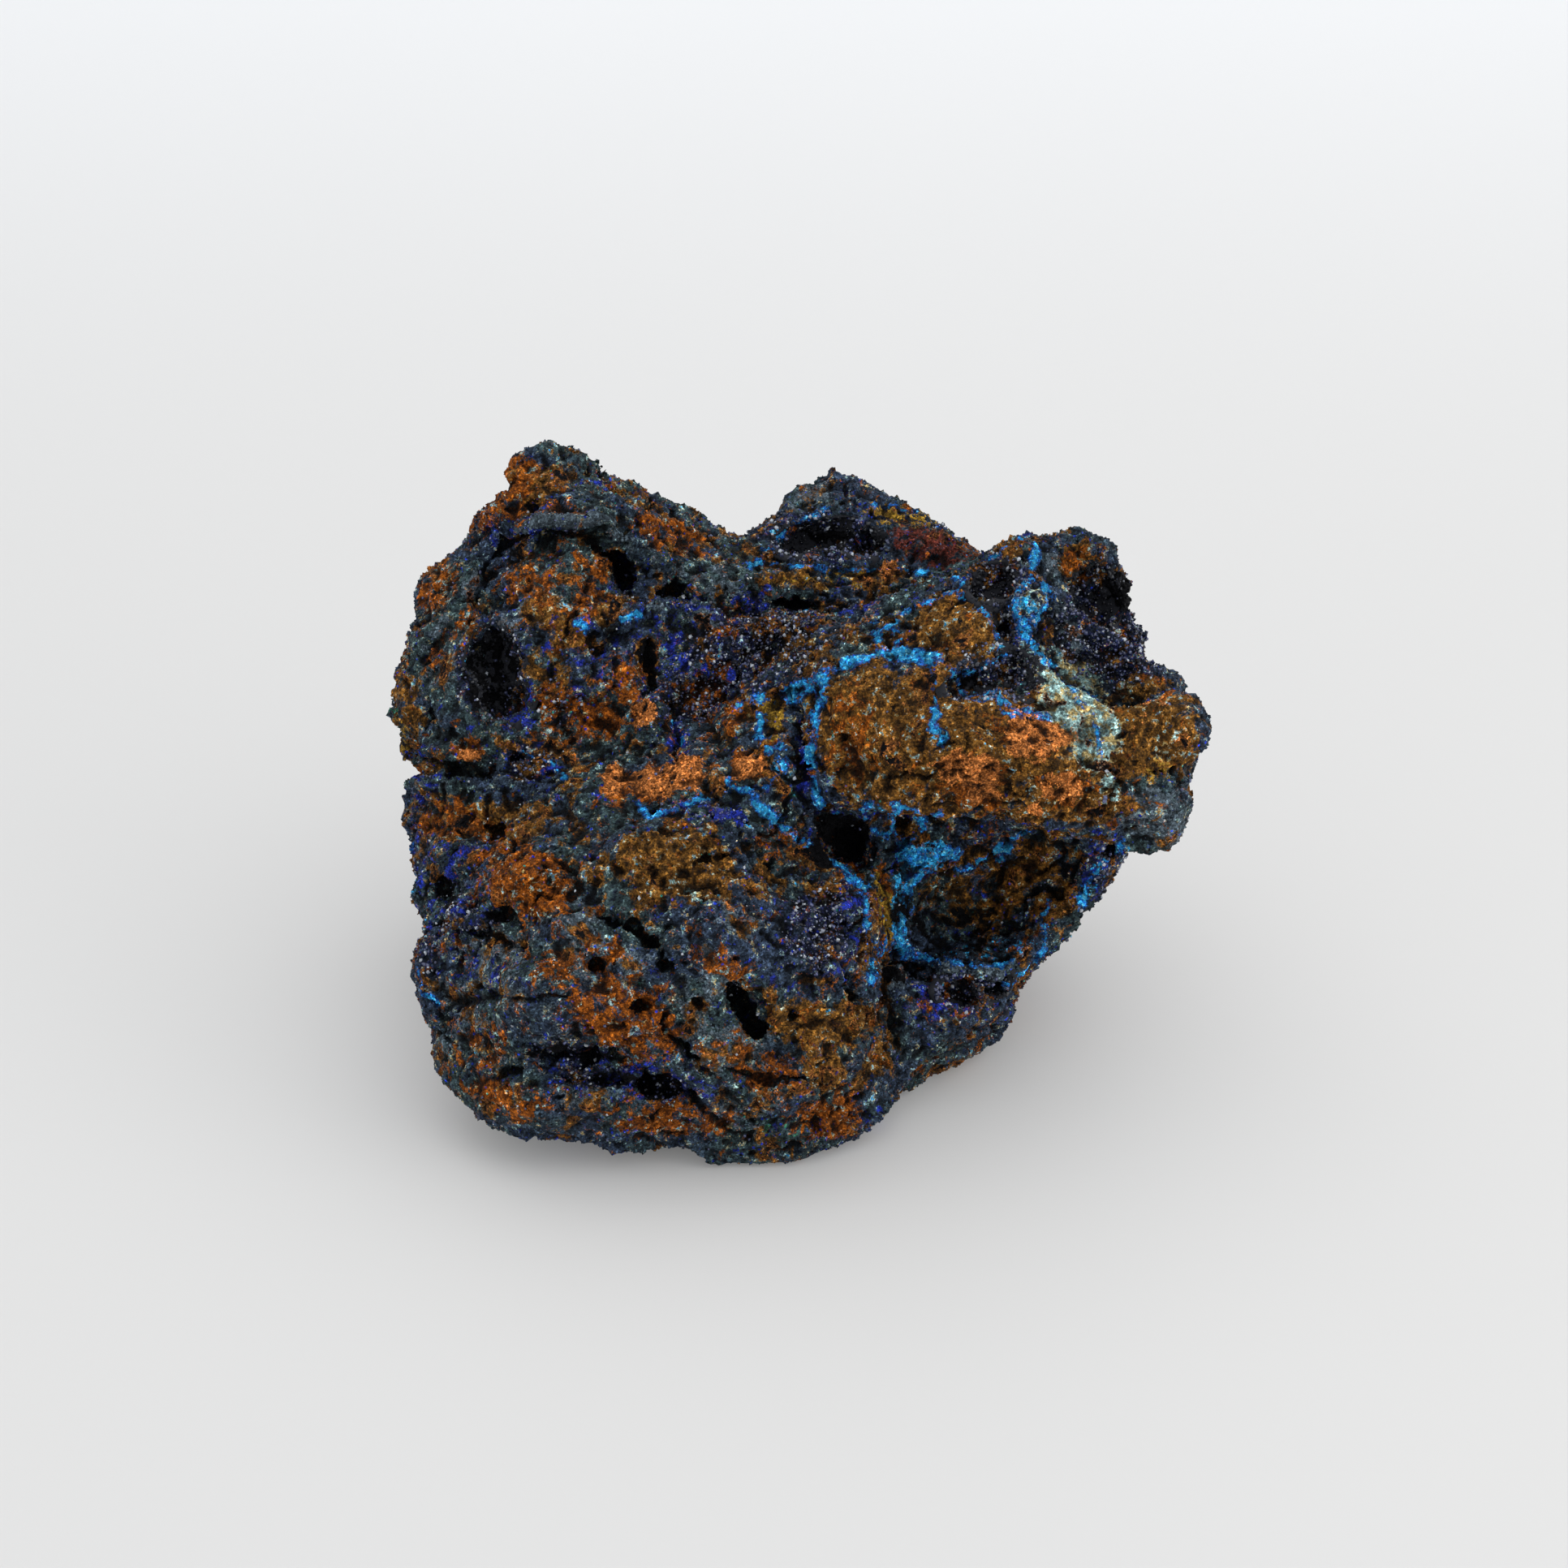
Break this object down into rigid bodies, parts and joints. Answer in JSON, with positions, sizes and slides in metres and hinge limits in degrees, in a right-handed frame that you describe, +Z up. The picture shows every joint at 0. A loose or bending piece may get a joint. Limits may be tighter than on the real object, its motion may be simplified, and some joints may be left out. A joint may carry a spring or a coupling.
{
  "type": "azurite mineral specimen",
  "caption": "Craggy lump of iron-stained rock with sky-blue seams and deep-blue azurite crystal crusts lining its hollows, for display on a shelf or table.",
  "frame": {"origin": "the middle of the specimen's box, on the surface it rests on", "axes": "+X along its width, to the right as its crystal-lined front is seen; +Y towards its back; +Z up"},
  "size_m": [0.0999, 0.0816, 0.068],
  "materials": {
    "iron_stained_rock": "matte",
    "azurite_crystal": "gloss"
  },
  "bodies": {
    "root": {"azurite_rock": "iron_stained_rock", "right_bay_druse": "azurite_crystal", "left_vug_druse": "azurite_crystal", "middle_bay_druse": "azurite_crystal", "back_vug_druse": "azurite_crystal", "lower_vug_druse": "azurite_crystal"}
  },
  "joints": []
}
